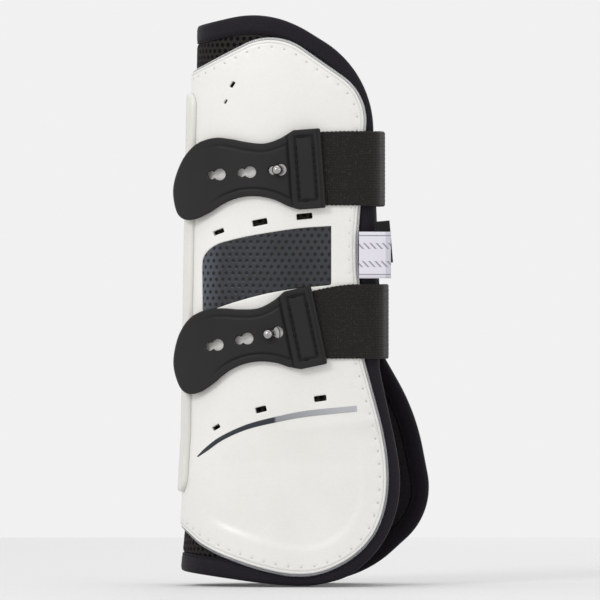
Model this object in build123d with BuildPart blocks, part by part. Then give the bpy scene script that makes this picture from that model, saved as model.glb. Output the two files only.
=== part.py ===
"""Tendon boot for a horse's foreleg: moulded shell, bound neoprene liner and two stud-fastened straps.

Millimetres. +Z up the leg, +X to the open front of the boot, -Y to the outer (lateral) side.
The origin is on the ground under the middle of the boot's bounding box.
"""

import os
from math import asin, cos, degrees, radians, sin, tan

from build123d import *

os.makedirs("parts", exist_ok=True)

# ---------------------------------------------------------------- driving dimensions
MID_Y = 2.6  # the boot's middle plane; the studs make the outer side the thicker one
BACK_X = -90.0  # well behind the boot, where side outlines close
FRONT_X = 78.0  # well in front of the boot, where the leg form closes

# The leg form: a closed oval seen from above. Each side turns gently from flat, then round the back.
SIDE_RADIUS = 90.0
SIDE_TURN = 22.0
CHEEK_RADIUS = 75.0  # each side curls in again towards the open front
CHEEK_TURN = 20.0
CHEEK_START = 12.0
# height, back of the form, half width
FORM_LEVELS = [
    (-12, -61.5, 40.5),
    (30, -58.9, 37.5),
    (75, -56.2, 34.6),
    (165, -54.8, 34.0),
    (300, -52.2, 33.0),
]

# Layers, as depths below the shell's outer face
SHELL_THICKNESS = 2.4
LAYER_GAP = 0.1
LINER_THICKNESS = 4.0
LINING_THICKNESS = 1.8
PAD_THICKNESS = 2.6
LINER_DEPTH = SHELL_THICKNESS + LAYER_GAP
LINING_DEPTH = LINER_DEPTH + LINER_THICKNESS + LAYER_GAP
PAD_DEPTH = LINING_DEPTH + LINING_THICKNESS + LAYER_GAP
BINDING_OUTER_DEPTH = 1.9  # the binding tape bulges past the liner on both faces
BINDING_INNER_DEPTH = PAD_DEPTH + 0.5
BINDING_WIDTH = 8.5
BINDING_ROUNDING = 1.4
PAD_CENTRE_X = -50.0
PAD_CENTRE_Z = 145.0
PAD_LENGTH = 72.0
PAD_HEIGHT = 200.0
PAD_CORNER = 20.0

FIT_GAP = 0.05  # around pieces set in or on another
INLAY_TOP_DEPTH = 0.15
WINDOW_DEPTH = 0.95
ACCENT_DEPTH = 0.55
RIM_WIDTH = 1.7
RIM_TOP_DEPTH = 0.5
SPINE_HEIGHT = 2.6
SPINE_TOP = 246.0
SPINE_BOTTOM = 50.5
SPINE_HALF_WIDTH = 13.0

# Straps
BALL_DIAMETER = 5.1
NECK_DIAMETER = 2.4
STUD_FLANGE_DIAMETER = 10.4
STUD_FLANGE_THICKNESS = 0.7
SEAT_GAP = 0.02
SHANK_DIAMETER = 3.0
WASHER_DIAMETER = 12.0
WASHER_THICKNESS = 1.0
SMALL_LOBE_DIAMETER = 4.2
BIG_LOBE_DIAMETER = 5.8
LOBE_SPACING = 4.2
KEYHOLE_NECK_WIDTH = 3.2
KEYHOLE_PITCH = 15.2
KEYHOLE_COUNT = 3
TAB_GAP = 1.1
TAB_THICKNESS = 2.6
PANEL_GAP = 2.5
PANEL_THICKNESS = 2.2
PANEL_BACK_X = -6.5
PANEL_STEP = 1.5
TAB_FRONT_X = 12.5
STRAP_REACH = 60.0  # past the tab in height and in depth
BALL_CLEARANCE = 2.65  # ball centre above the tab's outer face, so the ball rests on the rubber
TAB_LIFT_TURN = 34.0  # turn at which the stiff tab leaves the shell
TAB_TIP_RADIUS = 80.0
TAB_TIP_TURN = 23.0
ELASTIC_WIDTH = 37.0
ELASTIC_THICKNESS = 1.6
ELASTIC_GAP = 0.5
ELASTIC_CORNER_RADIUS = 7.5
ELASTIC_CROSS_TURN = 22.0
ELASTIC_BACK_X = -1.5
HINGE_X = 30.0
HINGE_GAP = 1.2
ANCHOR_BACK_X = 6.0

LABEL_WIDTH = 16.4
LABEL_HEIGHT = 23.2
LABEL_THICKNESS = 0.7
LABEL_CORNER = 0.6
LABEL_BACK = (29.3, -34.3, 164.9)
LABEL_TURN = 15.0
FOLDED_LABEL_WIDTH = 8.0
FOLDED_LABEL_HEIGHT = 21.0
FOLDED_LABEL_TILT = -14.0
FOLDED_LABEL_START = 10.2  # from the woven label's sewn edge

# ---------------------------------------------------------------- planes and the leg form
def level(height):
    """A horizontal plane whose origin is on the boot's middle plane."""
    return Plane(origin=(0, MID_Y, height), x_dir=(1, 0, 0), z_dir=(0, 0, 1))


SIDE = Plane(origin=(0, MID_Y, 0), x_dir=(1, 0, 0), z_dir=(0, -1, 0))
LABEL_PLANE = Plane(
    origin=(LABEL_BACK[0], MID_Y + LABEL_BACK[1], LABEL_BACK[2]),
    x_dir=(cos(radians(LABEL_TURN)), sin(radians(LABEL_TURN)), 0),
    z_dir=(sin(radians(LABEL_TURN)), -cos(radians(LABEL_TURN)), 0),
)


def form_size(height):
    """Back and half width of the leg form at a height, in line between its levels."""
    below = [row for row in FORM_LEVELS if row[0] <= height][-1]
    above = [row for row in FORM_LEVELS if row[0] > height][0]
    share = (height - below[0]) / (above[0] - below[0])
    return tuple(low + share * (high - low) for low, high in zip(below[1:], above[1:]))


def back_radius(half_width):
    """Radius of the round back that meets both sides smoothly."""
    return (half_width - SIDE_RADIUS * (1 - cos(radians(SIDE_TURN)))) / cos(radians(SIDE_TURN))


def side_start(back_x, half_width):
    """Where a flat side begins to turn towards the back."""
    radius = back_radius(half_width)
    return back_x + radius + (SIDE_RADIUS - radius) * sin(radians(SIDE_TURN))


def half_outline(back_x, half_width, outset, side):
    """Edges of one side of the form, from its front to the middle of its back."""
    start_x = side_start(back_x, half_width)
    cheek = CHEEK_RADIUS + outset
    cheek_end_x = CHEEK_START + cheek * sin(radians(CHEEK_TURN))
    cheek_end_y = half_width + outset - cheek * (1 - cos(radians(CHEEK_TURN)))
    front_y = cheek_end_y - (FRONT_X - cheek_end_x) * tan(radians(CHEEK_TURN))
    flat_y = half_width + outset
    Line((FRONT_X, side * front_y), (cheek_end_x, side * cheek_end_y))
    mid_x = CHEEK_START + cheek * sin(radians(CHEEK_TURN / 2))
    mid_y = flat_y - cheek * (1 - cos(radians(CHEEK_TURN / 2)))
    ThreePointArc((cheek_end_x, side * cheek_end_y), (mid_x, side * mid_y), (CHEEK_START, side * flat_y))
    Line((CHEEK_START, side * flat_y), (start_x, side * flat_y))
    side_arc = JernArc((start_x, side * flat_y), (-1, 0), SIDE_RADIUS + outset, side * SIDE_TURN)
    JernArc(side_arc @ 1, side_arc % 1, back_radius(half_width) + outset, side * (90 - SIDE_TURN))
    return front_y


def leg_form(depth):
    """The solid inside a surface that lies a depth below the shell's outer face."""
    with BuildPart() as form:
        for height, back_x, half_width in FORM_LEVELS:
            with BuildSketch(level(height)):
                with BuildLine():
                    front_y = half_outline(back_x, half_width, -depth, -1)
                    half_outline(back_x, half_width, -depth, 1)
                    Line((FRONT_X, -front_y), (FRONT_X, front_y))
                make_face()
        loft(ruled=True)
    return form.part


def layer(outer_depth, inner_depth):
    """The closed wall between two depths."""
    with BuildPart() as wall:
        add(leg_form(outer_depth))
        add(leg_form(inner_depth), mode=Mode.SUBTRACT)
    return wall.part


# ---------------------------------------------------------------- side outlines, as (x, z)
# Each corner is x, z and the radius that rounds it. Both sides share their top and bottom corners.
EDGES = {
    "top": [(BACK_X, 272.6, 0), (-12.4, 288.1, 55), (36.3, 257.9, 48)],
    "lateral": [(39.5, 108, 60), (62.8, -6.1, 45)],
    "medial": [(39.8, 113.6, 8), (54, 93, 60), (75.9, 42, 57), (25.1, -2.2, 58)],
    "bottom": [(BACK_X, 9.9, 0)],
}
SHELL_EDGES = {
    "top": [(BACK_X, 239, 0), (-13.8, 278.6, 29), (34.2, 246.4, 27), (28.4, 168, 200)],
    "lateral": [(31, 112, 60), (61.3, -4.6, 41)],
    "medial": [(31, 122, 60), (64.2, 42.6, 48), (18, 2.3, 45)],
    "bottom": [(-30.3, 10, 50), (BACK_X, 42.9, 0)],
}

WINDOW_CORNERS = [
    (15.3, 179.5, 1),
    (-8, 178.4, 80),
    (-49, 167.7, 5),
    (-48.9, 135.9, 2),
    (-15, 146.4, 60),
    (15.3, 149.6, 1),
]
ACCENT_TIP = (-51.3, 64.3)
ACCENT_TOP_MIDDLE = (-22.5, 83)
ACCENT_TOP_END = (28.5, 89.9)
ACCENT_LOW_END = (28.8, 87.4)
ACCENT_LOW_MIDDLE = (-21.5, 79.3)
# centre x, centre z, length, width, tilt
VENTS = [
    (-33.8, 249.9, 3.2, 1.6, 56),
    (-37.2, 241.4, 2.3, 1.0, 58),
    (-40.8, 176.5, 5.6, 2.2, 20),
    (-20.1, 181.2, 7.5, 3.0, 11),
    (2.2, 184.2, 7.8, 2.9, 6),
    (-42.0, 79.0, 4.0, 2.0, 30),
    (-19.5, 88.0, 5.4, 2.8, 14),
    (10.1, 93.5, 6.0, 2.8, 8),
]
TAB_TOP_EDGE = [
    (12, 19.2), (5, 15.6), (-3, 13.7), (-12, 15.1),
    (-19.5, 17.2), (-28, 18.4), (-37, 16), (-44, 9.4),
]
TAB_END = [(-48.8, 0), (-50.4, -8), (-49.2, -17), (-45.6, -21), (-40, -21.3)]
TAB_LOW_EDGE = [
    (-33, -18.8), (-24, -14.2), (-16, -12.2),
    (-8, -12.4), (0, -14.7), (6.5, -18.3), (12, -20.5),
]
TAB_FRONT = 25.5

# Each strap: its first keyhole and tilt, where its ball stands,
# and the elastic's lower edge and front corner
STRAPS = [
    {
        "name": "upper",
        "x": -13.85,
        "z": 207.0,
        "tilt": 4.2,
        "ball_x": -11.5,
        "ball_z": 207.2,
        "elastic_z": 189.6,
        "corner_x": 33.0,
    },
    {
        "name": "lower",
        "x": -15.35,
        "z": 125.6,
        "tilt": 12.0,
        "ball_x": -16.0,
        "ball_z": 125.5,
        "elastic_z": 113.3,
        "corner_x": 35.0,
    },
]


def outline_sketch(edges, side, inset):
    """One side's outline on the middle plane, closed behind the boot and drawn in by an inset."""
    corners = edges["top"] + edges[side] + edges["bottom"]
    points = [(x, z) for x, z, _ in corners]
    with BuildSketch(SIDE) as outline:
        with BuildLine():
            FilletPolyline(*points, radius=[radius for _, _, radius in corners[1:-1]])
            Line(points[-1], points[0])
        make_face()
        if inset:
            offset(amount=-inset)
    return outline.sketch


def side_walls(edges, inset=0):
    """A block with the lateral outline on one side of the middle plane and the medial on the other."""
    with BuildPart() as block:
        extrude(outline_sketch(edges, "lateral", inset), amount=-BACK_X)
        extrude(outline_sketch(edges, "medial", inset), amount=BACK_X)
    return block.part


def both_sides(sketch):
    """A block that cuts the same opening in both sides, clear of the back."""
    with BuildPart() as block:
        extrude(sketch, amount=-BACK_X, both=True)
    return block.part


def window_sketch():
    with BuildSketch(SIDE) as window:
        with BuildLine():
            radii = [radius for _, _, radius in WINDOW_CORNERS]
            FilletPolyline(*[(x, z) for x, z, _ in WINDOW_CORNERS], radius=radii, close=True)
        make_face()
    return window.sketch


def accent_sketch():
    with BuildSketch(SIDE) as accent:
        with BuildLine():
            ThreePointArc(ACCENT_TIP, ACCENT_TOP_MIDDLE, ACCENT_TOP_END)
            Line(ACCENT_TOP_END, ACCENT_LOW_END)
            ThreePointArc(ACCENT_LOW_END, ACCENT_LOW_MIDDLE, ACCENT_TIP)
        make_face()
    return accent.sketch


def wall_piece(outer_depth, inner_depth, block):
    """The part of a layer that lies in a block."""
    with BuildPart() as piece:
        add(layer(outer_depth, inner_depth))
        add(block, mode=Mode.INTERSECT)
    return piece.part


def write(piece, name):
    """Labels a finished piece and writes its STEP file."""
    piece.part.label = name
    export_step(piece.part, f"parts/{name}.step")


def vent_sketch():
    with BuildSketch(SIDE) as vents:
        for x, z, length, width, tilt in VENTS:
            with Locations((x, z)):
                Rectangle(length, width, rotation=tilt)
    return vents.sketch


def surface_turn(height, x):
    """How far the lateral side has turned from flat at x, in degrees."""
    back_x, half_width = form_size(height)
    return degrees(asin(max(0, side_start(back_x, half_width) - x) / SIDE_RADIUS))


def surface_point(height, x):
    """The point of the shell's lateral face at a height and x, short of the round back."""
    _, half_width = form_size(height)
    turn = radians(surface_turn(height, x))
    return (x, MID_Y - half_width + SIDE_RADIUS * (1 - cos(turn)), height)


def stud_plane(x, z):
    """The plane of the shell's lateral face under a stud whose ball is seen at x."""
    reach = TAB_GAP + TAB_THICKNESS + BALL_CLEARANCE
    base_x = x + reach * sin(radians(surface_turn(z, x)))
    turn = radians(surface_turn(z, base_x))
    across = (cos(turn), -sin(turn), 0)
    outwards = (-sin(turn), -cos(turn), 0)
    return Plane(origin=surface_point(z, base_x), x_dir=across, z_dir=outwards)


# ---------------------------------------------------------------- shell and what is set in it
WINDOW_BLOCK = both_sides(window_sketch())
ACCENT_BLOCK = both_sides(accent_sketch())
STUD_PLANES = {strap["name"]: stud_plane(strap["ball_x"], strap["ball_z"]) for strap in STRAPS}
window_recess = wall_piece(-1, WINDOW_DEPTH + FIT_GAP, WINDOW_BLOCK)
accent_groove = wall_piece(-1, ACCENT_DEPTH + FIT_GAP, ACCENT_BLOCK)

with BuildPart() as outer_shell:
    add(wall_piece(0, SHELL_THICKNESS, side_walls(SHELL_EDGES)))
    add(both_sides(vent_sketch()), mode=Mode.SUBTRACT)
    add(window_recess, mode=Mode.SUBTRACT)
    add(accent_groove, mode=Mode.SUBTRACT)
    for plane in STUD_PLANES.values():
        with BuildSketch(plane.offset(-2 * SHELL_THICKNESS)):
            Circle(SHANK_DIAMETER / 2 + FIT_GAP)
        extrude(amount=3 * SHELL_THICKNESS, mode=Mode.SUBTRACT)
write(outer_shell, "outer_shell")

with BuildPart() as window_inlay:
    add(wall_piece(INLAY_TOP_DEPTH, WINDOW_DEPTH, WINDOW_BLOCK))
write(window_inlay, "window_inlay")

with BuildPart() as accent_line:
    add(wall_piece(FIT_GAP, ACCENT_DEPTH, ACCENT_BLOCK))
write(accent_line, "accent_line")

with BuildPart() as clear_rim:
    add(wall_piece(RIM_TOP_DEPTH, SHELL_THICKNESS - FIT_GAP, side_walls(SHELL_EDGES, -RIM_WIDTH)))
    add(side_walls(SHELL_EDGES, -FIT_GAP), mode=Mode.SUBTRACT)
write(clear_rim, "clear_rim")

with BuildPart() as spine_cover:
    add(layer(-SPINE_HEIGHT, -FIT_GAP))
    with BuildSketch(level(SPINE_BOTTOM)):
        Rectangle(-BACK_X, 2 * SPINE_HALF_WIDTH, align=(Align.MAX, Align.CENTER))
    extrude(amount=SPINE_TOP - SPINE_BOTTOM, mode=Mode.INTERSECT)
write(spine_cover, "spine_cover")

# ---------------------------------------------------------------- padding and its bound edge
PADDING_WALLS = side_walls(EDGES, BINDING_WIDTH + LAYER_GAP)

with BuildPart() as neoprene_liner:
    add(wall_piece(LINER_DEPTH, LINER_DEPTH + LINER_THICKNESS, PADDING_WALLS))
    for plane in STUD_PLANES.values():
        with BuildSketch(plane.offset(-LINER_DEPTH - WASHER_THICKNESS - 3 * LAYER_GAP)):
            Circle(WASHER_DIAMETER / 2 + 2 * LAYER_GAP)
        extrude(amount=2 * WASHER_THICKNESS, mode=Mode.SUBTRACT)
write(neoprene_liner, "neoprene_liner")

with BuildPart() as inner_lining:
    add(wall_piece(LINING_DEPTH, LINING_DEPTH + LINING_THICKNESS, PADDING_WALLS))
write(inner_lining, "inner_lining")

with BuildPart() as tendon_pad:
    add(layer(PAD_DEPTH, PAD_DEPTH + PAD_THICKNESS))
    with BuildSketch(SIDE):
        with Locations((PAD_CENTRE_X, PAD_CENTRE_Z)):
            RectangleRounded(PAD_LENGTH, PAD_HEIGHT, PAD_CORNER)
    extrude(amount=-BACK_X, both=True, mode=Mode.INTERSECT)
write(tendon_pad, "tendon_pad")

tape_core_depths = (BINDING_OUTER_DEPTH + BINDING_ROUNDING, BINDING_INNER_DEPTH - BINDING_ROUNDING)
under_shell = wall_piece(-1, LINER_DEPTH, side_walls(SHELL_EDGES, -RIM_WIDTH - LAYER_GAP))

with BuildPart() as edge_tape:
    add(wall_piece(BINDING_OUTER_DEPTH, BINDING_INNER_DEPTH, side_walls(EDGES, BINDING_ROUNDING)))
    add(wall_piece(*tape_core_depths, side_walls(EDGES)))
    add(side_walls(EDGES, BINDING_WIDTH), mode=Mode.SUBTRACT)
    add(under_shell, mode=Mode.SUBTRACT)

with BuildPart() as binding_lateral:
    add(edge_tape.part)
    split(bisect_by=SIDE, keep=Keep.TOP)
write(binding_lateral, "binding_lateral")

with BuildPart() as binding_medial:
    add(edge_tape.part)
    split(bisect_by=SIDE, keep=Keep.BOTTOM)
write(binding_medial, "binding_medial")

with BuildPart() as woven_label:
    with BuildSketch(LABEL_PLANE):
        RectangleRounded(LABEL_WIDTH, LABEL_HEIGHT, LABEL_CORNER, align=(Align.MIN, Align.CENTER))
    extrude(amount=LABEL_THICKNESS)
write(woven_label, "woven_label")

with BuildPart() as folded_label:
    with BuildSketch(LABEL_PLANE.offset(-LABEL_THICKNESS - FIT_GAP)):
        with Locations(Location((FOLDED_LABEL_START, 0), FOLDED_LABEL_TILT)):
            Rectangle(FOLDED_LABEL_WIDTH, FOLDED_LABEL_HEIGHT, align=(Align.MIN, Align.CENTER))
    extrude(amount=LABEL_THICKNESS)
write(folded_label, "folded_label")


# ---------------------------------------------------------------- straps
def tab_path(back_x, half_width, outset, front_x):
    """One face of a tab seen from above, from its front to the tip that stands off the back."""
    flat_y = -half_width - outset
    start_x = side_start(back_x, half_width)
    Line((front_x, flat_y), (start_x, flat_y))
    side_arc = JernArc((start_x, flat_y), (-1, 0), SIDE_RADIUS + outset, -SIDE_TURN)
    radius = back_radius(half_width) + outset
    back_arc = JernArc(side_arc @ 1, side_arc % 1, radius, SIDE_TURN - TAB_LIFT_TURN)
    tip_arc = JernArc(back_arc @ 1, back_arc % 1, TAB_TIP_RADIUS + outset, -TAB_TIP_TURN)
    return tip_arc @ 1


def tab_body(strap):
    """The tab's bent sheet, with the thicker end panel that lies over the elastic."""
    back_x, half_width = form_size(strap["z"])
    panel_y = -half_width - PANEL_GAP
    panel_length = TAB_FRONT_X + STRAP_REACH - PANEL_BACK_X
    front_x = PANEL_BACK_X + PANEL_STEP
    with BuildPart() as body:
        with BuildSketch(level(strap["z"])):
            with BuildLine():
                inner_tip = tab_path(back_x, half_width, TAB_GAP, front_x)
                outer_tip = tab_path(back_x, half_width, TAB_GAP + TAB_THICKNESS, front_x)
                Line(inner_tip, outer_tip)
                Line((front_x, -half_width - TAB_GAP), (front_x, -half_width - TAB_GAP - TAB_THICKNESS))
            make_face()
            with Locations((PANEL_BACK_X, panel_y)):
                Rectangle(panel_length, PANEL_THICKNESS, align=(Align.MIN, Align.MAX))
        extrude(amount=STRAP_REACH, both=True)
    return body.part


def tab_plane(strap):
    """The middle plane turned so that the strap's keyholes lie along its own x."""
    tilt = radians(strap["tilt"])
    return Plane(origin=(strap["x"], MID_Y, strap["z"]), x_dir=(cos(tilt), 0, sin(tilt)), z_dir=(0, -1, 0))


def tab_outline(strap):
    with BuildSketch(tab_plane(strap)) as outline:
        with BuildLine():
            Spline(*TAB_TOP_EDGE, *TAB_END, *TAB_LOW_EDGE)
            front_top = (TAB_FRONT, TAB_TOP_EDGE[0][1])
            front_low = (TAB_FRONT, TAB_LOW_EDGE[-1][1])
            Polyline(TAB_TOP_EDGE[0], front_top, front_low, TAB_LOW_EDGE[-1])
        make_face()
    return outline.sketch


def keyholes(strap):
    with BuildSketch(tab_plane(strap)) as holes:
        for number in range(KEYHOLE_COUNT):
            with Locations((-number * KEYHOLE_PITCH, 0)):
                Circle(SMALL_LOBE_DIAMETER / 2)
            with Locations((LOBE_SPACING - number * KEYHOLE_PITCH, 0)):
                Circle(BIG_LOBE_DIAMETER / 2)
            with Locations((-number * KEYHOLE_PITCH, 0)):
                Rectangle(LOBE_SPACING, KEYHOLE_NECK_WIDTH, align=(Align.MIN, Align.CENTER))
    return holes.sketch


def elastic_path(half_width, outset, corner_x):
    """One face of the elastic from above, from under the tab, across the open front, to its hinge line."""
    cheek = CHEEK_RADIUS + outset
    turn = degrees(asin((corner_x - CHEEK_START) / CHEEK_RADIUS))
    corner_turn = 90 - ELASTIC_CROSS_TURN / 2 - turn
    corner_radius = ELASTIC_CORNER_RADIUS + outset
    flat_y = -half_width - outset
    Line((ELASTIC_BACK_X, flat_y), (CHEEK_START, flat_y))
    cheek_arc = JernArc((CHEEK_START, flat_y), (1, 0), cheek, turn)
    corner_arc = JernArc(cheek_arc @ 1, cheek_arc % 1, corner_radius, corner_turn)
    half_gap = -(corner_arc @ 1).Y
    cross_radius = half_gap / sin(radians(ELASTIC_CROSS_TURN / 2))
    cross_arc = JernArc(corner_arc @ 1, corner_arc % 1, cross_radius, ELASTIC_CROSS_TURN)
    far_corner = JernArc(cross_arc @ 1, cross_arc % 1, corner_radius, corner_turn)
    hinge_turn = degrees(asin((HINGE_X - CHEEK_START) / CHEEK_RADIUS))
    end_arc = JernArc(far_corner @ 1, far_corner % 1, cheek, turn - hinge_turn)
    return (ELASTIC_BACK_X, flat_y), end_arc @ 1


def anchor_path(half_width, outset, end_x):
    """One face of the elastic's end that is sewn to the medial side."""
    flat_y = half_width + outset
    turn = degrees(asin((end_x - CHEEK_START) / CHEEK_RADIUS))
    Line((ANCHOR_BACK_X, flat_y), (CHEEK_START, flat_y))
    arc = JernArc((CHEEK_START, flat_y), (1, 0), CHEEK_RADIUS + outset, -turn)
    return (ANCHOR_BACK_X, flat_y), arc @ 1


def elastic_band(strap, path, reach_x):
    """A band of the elastic's width between the two faces that a path function draws as far as reach_x."""
    _, half_width = form_size(strap["z"])
    with BuildPart() as band:
        with BuildSketch(level(strap["elastic_z"])):
            with BuildLine():
                inner_start, inner_end = path(half_width, ELASTIC_GAP, reach_x)
                outer_start, outer_end = path(half_width, ELASTIC_GAP + ELASTIC_THICKNESS, reach_x)
                Line(inner_start, outer_start)
                Line(inner_end, outer_end)
            make_face()
        extrude(amount=ELASTIC_WIDTH)
    return band.part


def turned_stud(plane):
    """Ball, neck, flange and shank on one axis."""
    ball_height = TAB_GAP + TAB_THICKNESS + BALL_CLEARANCE
    with BuildPart() as stud:
        with BuildSketch(plane.offset(SEAT_GAP)):
            Circle(STUD_FLANGE_DIAMETER / 2)
        extrude(amount=STUD_FLANGE_THICKNESS)
        chamfer(stud.edges().filter_by(GeomType.CIRCLE).sort_by(Axis.Y)[0], STUD_FLANGE_THICKNESS / 3)
        with BuildSketch(plane):
            Circle(NECK_DIAMETER / 2)
        extrude(amount=ball_height)
        with BuildSketch(plane.offset(-LINER_DEPTH)):
            Circle(SHANK_DIAMETER / 2)
        extrude(amount=LINER_DEPTH + STUD_FLANGE_THICKNESS / 2)
        with Locations(plane.offset(ball_height)):
            Sphere(BALL_DIAMETER / 2)
    return stud.part


def backing_washer(plane):
    """The plate behind the shell that the stud's shank is riveted over."""
    with BuildPart() as washer:
        with BuildSketch(plane.offset(-LINER_DEPTH - WASHER_THICKNESS - LAYER_GAP)):
            Circle(WASHER_DIAMETER / 2)
        extrude(amount=WASHER_THICKNESS)
    return washer.part


for strap in STRAPS:
    name = strap["name"]
    sheet = tab_body(strap)
    plane = STUD_PLANES[name]

    with BuildPart() as tab:
        extrude(tab_outline(strap), amount=STRAP_REACH)
        add(sheet, mode=Mode.INTERSECT)
        extrude(keyholes(strap), amount=STRAP_REACH, mode=Mode.SUBTRACT)
    write(tab, f"{name}_tab")

    with BuildPart() as elastic:
        add(elastic_band(strap, elastic_path, strap["corner_x"]))
    write(elastic, f"{name}_elastic")

    with BuildPart() as anchor:
        add(elastic_band(strap, anchor_path, HINGE_X - HINGE_GAP))
    write(anchor, f"{name}_anchor")

    with BuildPart() as stud:
        add(turned_stud(plane))
    write(stud, f"{name}_stud")

    with BuildPart() as washer:
        add(backing_washer(plane))
    write(washer, f"{name}_washer")
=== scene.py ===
"""Looks of a horse's tendon boot: moulded shell, bound neoprene liner and two stud-fastened elastic straps.

Lengths are millimetres until a mesh is made. A wall of the boot is drawn unrolled, as u and z: u runs
round the leg from the middle of the back, negative on the outer (lateral) side, and z runs up.
"""

import math

import bmesh
import bpy
import numpy as np
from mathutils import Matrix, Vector
from mathutils.geometry import delaunay_2d_cdt
from mathutils.kdtree import KDTree


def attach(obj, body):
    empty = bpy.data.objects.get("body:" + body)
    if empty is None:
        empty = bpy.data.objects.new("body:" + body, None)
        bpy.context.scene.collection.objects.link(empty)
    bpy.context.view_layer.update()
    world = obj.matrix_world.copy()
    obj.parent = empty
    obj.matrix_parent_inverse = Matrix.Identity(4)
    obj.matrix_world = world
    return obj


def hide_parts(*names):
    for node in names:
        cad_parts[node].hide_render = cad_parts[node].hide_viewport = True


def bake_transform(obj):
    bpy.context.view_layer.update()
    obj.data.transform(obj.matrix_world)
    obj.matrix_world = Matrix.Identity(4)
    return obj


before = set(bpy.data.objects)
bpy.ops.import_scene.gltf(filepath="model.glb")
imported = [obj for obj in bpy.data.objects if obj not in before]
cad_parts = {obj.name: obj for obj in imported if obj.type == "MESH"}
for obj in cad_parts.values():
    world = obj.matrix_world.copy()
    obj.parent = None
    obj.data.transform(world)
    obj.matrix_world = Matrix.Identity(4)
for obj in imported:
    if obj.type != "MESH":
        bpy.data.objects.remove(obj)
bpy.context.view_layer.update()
MM = 0.001
UV_UNIT = 100.0  # millimetres to one unit of a UV map

# ---------------------------------------------------------------- the leg form, as in the CAD model
MID_Y = 2.6
BACK_X = -90.0
SIDE_RADIUS = 90.0
SIDE_TURN = math.radians(22)
CHEEK_RADIUS = 75.0
CHEEK_TURN = math.radians(20)
CHEEK_START = 12.0
LEVEL_Z = (-12, 30, 75, 165, 300)
LEVEL_BACK = (-64.0, -60.1, -57.5, -56.1, -53.6)  # the padded back stands 1 to 2 mm proud of the CAD form
LEVEL_HALF = (40.5, 37.5, 34.6, 34.0, 33.0)

# Depths below the shell's outer face
SHELL_BOTTOM = 2.4
LINER_TOP, LINER_BOTTOM = 2.5, 6.5
LINING_TOP, LINING_BOTTOM = 6.6, 8.4
PAD_TOP, PAD_BOTTOM = 8.5, 10.9
BINDING_WIDTH = 8.5
MEETING_BELOW, MEETING_WIDTH = 100, 14.0  # where the sides' lower edges are brought together

# Side outlines: x, z and corner radius
EDGES = {
    "top": [(BACK_X, 273.2, 0), (-14.0, 287.2, 55), (35.6, 256.4, 52)],
    "lateral": [(39.5, 108, 0)],
    "medial": [(41.0, 116, 8), (58.0, 86, 110), (67.6, 36, 35), (27, -1.6, 58)],
    "bottom": [(BACK_X, 9.9, 0)],
}
SHELL_EDGES = {
    "top": [(BACK_X, 239.6, 0), (-12.6, 277.6, 29), (33.8, 245.0, 27), (28.4, 168, 200)],
    "lateral": [(32.0, 112, 0)],
    "medial": [(31, 122, 60), (64.2, 42.6, 48), (18, 2.3, 45)],
    "bottom": [(-30.3, 9.6, 50), (-55.5, 24.4, 20), (BACK_X, 54.9, 0)],
}
# Points on the lower part of the outer side's outlines, from the last corner above to the back
EDGE_CURVE = [
    (39.5, 108), (43.9, 87), (47, 73), (49.4, 58), (49.4, 46), (47.2, 35), (42.5, 24), (35, 14),
    (24, 5.4), (12, 1.6), (0, 0.4), (-20, 1.8), (-45, 4.9), (-68, 7.6),
]  # fmt: skip
SHELL_CURVE = [
    (32, 112), (36.6, 95), (41, 78), (43.6, 62), (43.6, 46), (40.2, 32), (34, 21.4), (24, 12.6),
    (10, 6.3), (-4, 5.2), (-20, 8.2), (-38, 14.2), (-50, 20.1), (-57.5, 26.6), (-66, 34.0),
]  # fmt: skip
WINDOW_TOP = [
    (15.5, 179.3), (-1.9, 178), (-23.9, 174.6), (-35.7, 172),
    (-41.5, 170.2), (-46, 167.2), (-48.6, 163.4), (-49.2, 159),
]  # fmt: skip
WINDOW_LOW = [(-48.9, 136.6), (-42.6, 138.2), (-32, 141.7), (-17.3, 145.6), (-2.7, 148.1), (15.5, 150)]
ACCENT_TOP = [
    (-51.4, 64.5), (-46.6, 69.3), (-39.2, 74.7), (-26.3, 80.6), (-11.6, 84.5), (3.9, 87.5), (28.4, 89.9),
]  # fmt: skip
ACCENT_LOW = [(28.4, 86.9), (3.9, 84.4), (-11.6, 81.6), (-26.3, 78), (-38.4, 72.7), (-46, 67.4), (-51, 64)]
# centre x, centre z, length, width, tilt in degrees
VENTS = [
    (-33.8, 249.9, 3.2, 1.6, 56),
    (-37.2, 241.4, 2.3, 1.0, 58),
    (-40.8, 176.5, 5.6, 2.2, 20),
    (-20.1, 181.2, 7.5, 3.0, 11),
    (2.2, 184.2, 7.8, 2.9, 6),
    (-42.0, 79.0, 4.0, 2.0, 30),
    (-19.5, 88.0, 5.4, 2.8, 14),
    (10.1, 93.5, 6.0, 2.8, 8),
]
SEWING_INSET, SEWING_PITCH = 3.5, 6.5  # the row of stitches round the shell
SPINE_HALF, SPINE_LOW, SPINE_HIGH, SPINE_OUT = 13.4, 46.5, 246.0, 2.6

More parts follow.
